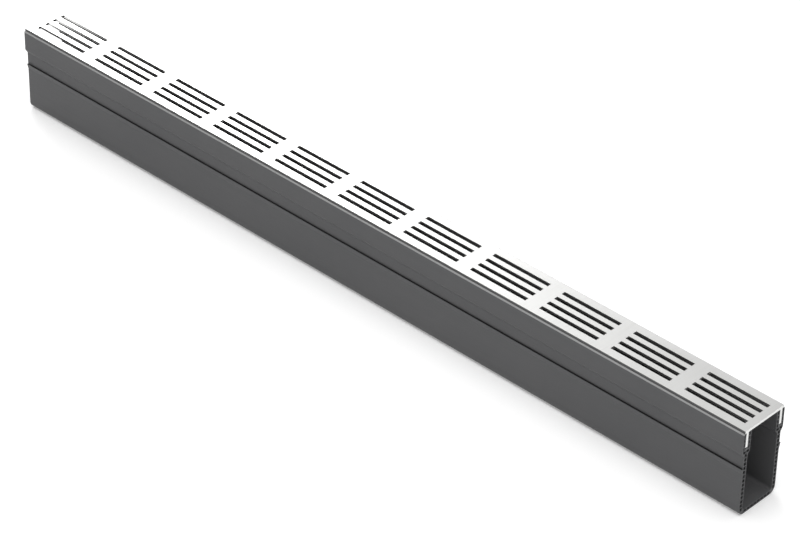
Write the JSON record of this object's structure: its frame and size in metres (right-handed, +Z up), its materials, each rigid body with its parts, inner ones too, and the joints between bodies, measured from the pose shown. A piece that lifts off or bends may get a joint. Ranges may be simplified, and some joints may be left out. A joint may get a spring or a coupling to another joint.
{
  "type": "channel drain",
  "caption": "One metre linear drainage channel of hollow-chamber section with a slotted metal grating resting in the grooves of its lips.",
  "frame": {"origin": "middle of the channel's underside", "axes": "+X along the channel, +Y across it, +Z up through the grating"},
  "size_m": [1, 0.0606, 0.1028],
  "materials": {
    "channel_plastic": "extruded, matt dark grey",
    "grating_metal": "fine cross-brushed, pale grey"
  },
  "bodies": {
    "root": {"channel_body": "channel_plastic", "slotted_grating": "grating_metal"}
  },
  "joints": []
}
